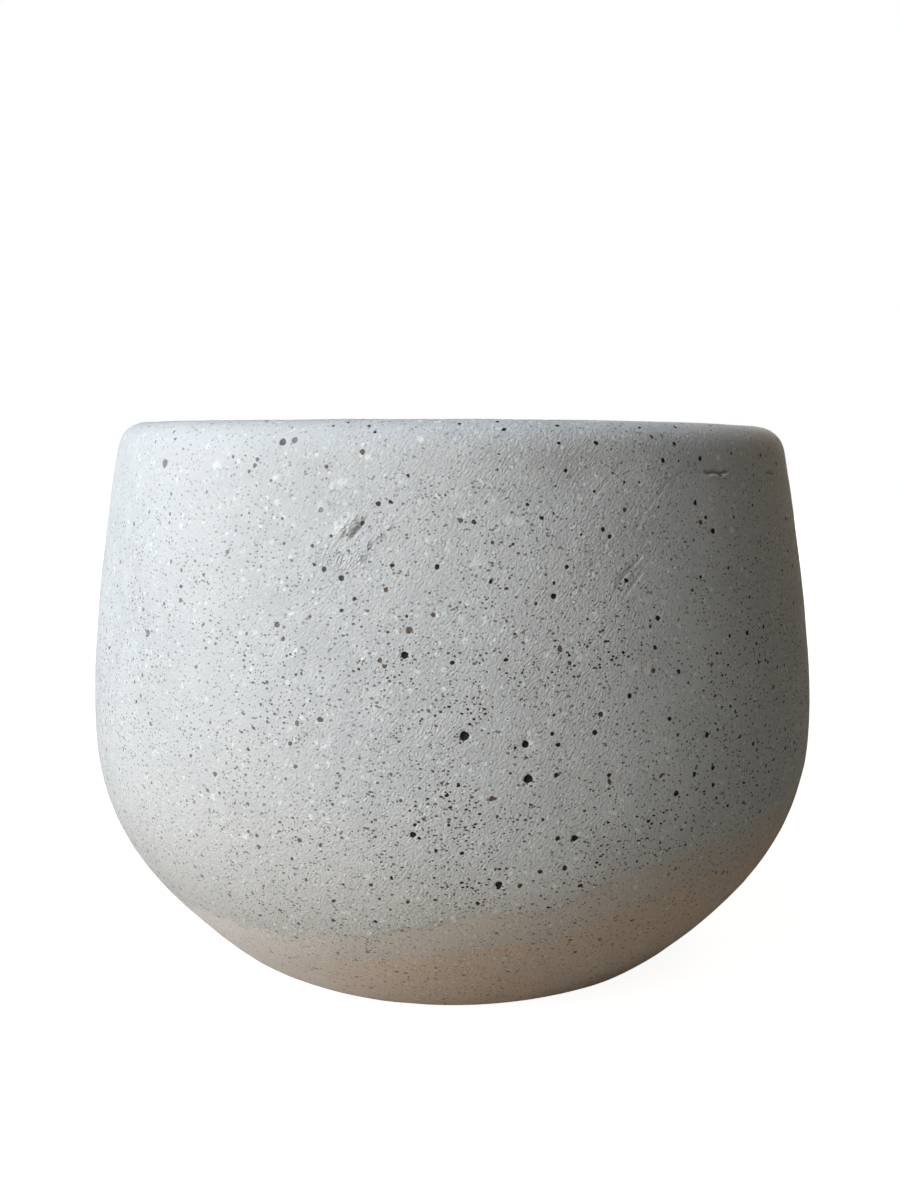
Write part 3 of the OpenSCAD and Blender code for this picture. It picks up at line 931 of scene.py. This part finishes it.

# ---- The drain screen --------------------------------------------------------
# A disc of dark plastic mesh, injection moulded flat, that keeps the soil in.
# Its bars have rounded edges.

screen_low, screen_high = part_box("drain_screen")
screen_r, screen_t = screen_high.x / MM, (screen_high.z - screen_low.z) / MM
PITCH, HOLE, HOLE_CORNER, EDGE, SCREEN_RIM = 3.6, 2.5, 0.45, 0.3, 2.0
weave = bpy.data.curves.new("screen_weave", "CURVE")
weave.dimensions = "2D"
weave.fill_mode = "BOTH"
weave.extrude = (screen_t / 2 - EDGE) * MM
weave.bevel_depth = EDGE * MM
weave.bevel_resolution = 2
weave.offset = -EDGE * MM


def loop(points):
    """A closed outline in the curve, in mm."""
    spline = weave.splines.new("POLY")
    spline.points.add(len(points) - 1)
    for held_point, (x, y) in zip(spline.points, points):
        held_point.co = (x * MM, y * MM, 0, 1)
    spline.use_cyclic_u = True


DISC_SIDES = 144
rim_turns = [2 * math.pi * k / DISC_SIDES for k in range(DISC_SIDES)]
loop([(screen_r * math.cos(turn), screen_r * math.sin(turn)) for turn in rim_turns])

# One hole, as points round its four rounded corners
hole = []
for quarter in range(4):
    for step in range(4):
        angle = math.radians(90 * quarter + 30 * step)
        x = (HOLE / 2 - HOLE_CORNER) * (1 if quarter in (0, 3) else -1) + HOLE_CORNER * math.cos(angle)
        y = (HOLE / 2 - HOLE_CORNER) * (1 if quarter < 2 else -1) + HOLE_CORNER * math.sin(angle)
        hole.append((x, y))

# The holes that lie whole inside the rim
field_r = screen_r - SCREEN_RIM
cells = int(field_r // PITCH)
for i in range(-cells, cells + 1):
    for j in range(-cells, cells + 1):
        if math.hypot(abs(i) * PITCH + HOLE / 2, abs(j) * PITCH + HOLE / 2) < field_r:
            loop([(i * PITCH + x, j * PITCH + y) for x, y in reversed(hole)])
weave_object = bpy.data.objects.new("screen_weave", weave)
scene.collection.objects.link(weave_object)
scene.view_layers[0].update()
filled = weave_object.evaluated_get(bpy.context.evaluated_depsgraph_get())
screen_mesh = bpy.data.meshes.new_from_object(filled)
bpy.data.objects.remove(weave_object)
closed = bmesh.new()
closed.from_mesh(screen_mesh)
bmesh.ops.remove_doubles(closed, verts=closed.verts, dist=0.002 * MM)
bmesh.ops.recalc_face_normals(closed, faces=closed.faces)
for vert in closed.verts:
    vert.co.z += (screen_low.z + screen_high.z) / 2
closed.to_mesh(screen_mesh)
closed.free()
screen_mesh.name = "mesh_drain_screen"
screen = bpy.data.objects.new("mesh_drain_screen", screen_mesh)
screen_plastic = moulded(
    "dark_plastic", base=(0.016, 0.019, 0.017), dust_colour=(0.24, 0.21, 0.18),
    pitch=0.22, dust_share=0.35, rough=0.42, depth=0.02, scuff_share=0.22,
)
stand_in(screen, "drain_screen", "screen_body", screen_plastic)

# ---- The foot pads -----------------------------------------------------------
# Four self-adhesive bumpers, die-cut and pressed from grey rubber. Each has
# bulged a little under the pot's weight, and its tread of rings holds dust.

PAD_SIDES, PAD_WAVER = 72, 0.004
pad_rubber = moulded(
    "grey_rubber", base=(0.085, 0.085, 0.082), dust_colour=(0.30, 0.28, 0.25),
    pitch=0.30, dust_share=0.75, rough=0.70, depth=0.04, scuff_share=0.10,
)
for number in range(1, 5):
    node = f"foot_pad_{number}"
    low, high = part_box(node)
    middle, pad_r, pad_t = (low + high) / 2, (high.x - low.x) / 2 / MM, (high.z - low.z) / MM
    tread = []
    for ring_r in (0.8, 2.0, 3.2):
        tread += [(ring_r, 0.0), (ring_r + 0.15, 0.16), (ring_r + 0.45, 0.16), (ring_r + 0.6, 0.0)]
    edge = [(pad_r - 0.4, 0.0), (pad_r - 0.05, 0.35), (pad_r, 0.7), (pad_r - 0.12, pad_t)]
    profile = rounded([(0, 0)] + tread + edge + [(0, pad_t)], 0.15, 3)
    mesh = turned(f"rubber_pad_{number}", profile, PAD_SIDES, PAD_WAVER)
    pad = bpy.data.objects.new(f"rubber_pad_{number}", mesh)
    mesh.transform(Matrix.Translation((middle.x, middle.y, low.z)))
    stand_in(pad, node, "pot_body", pad_rubber)
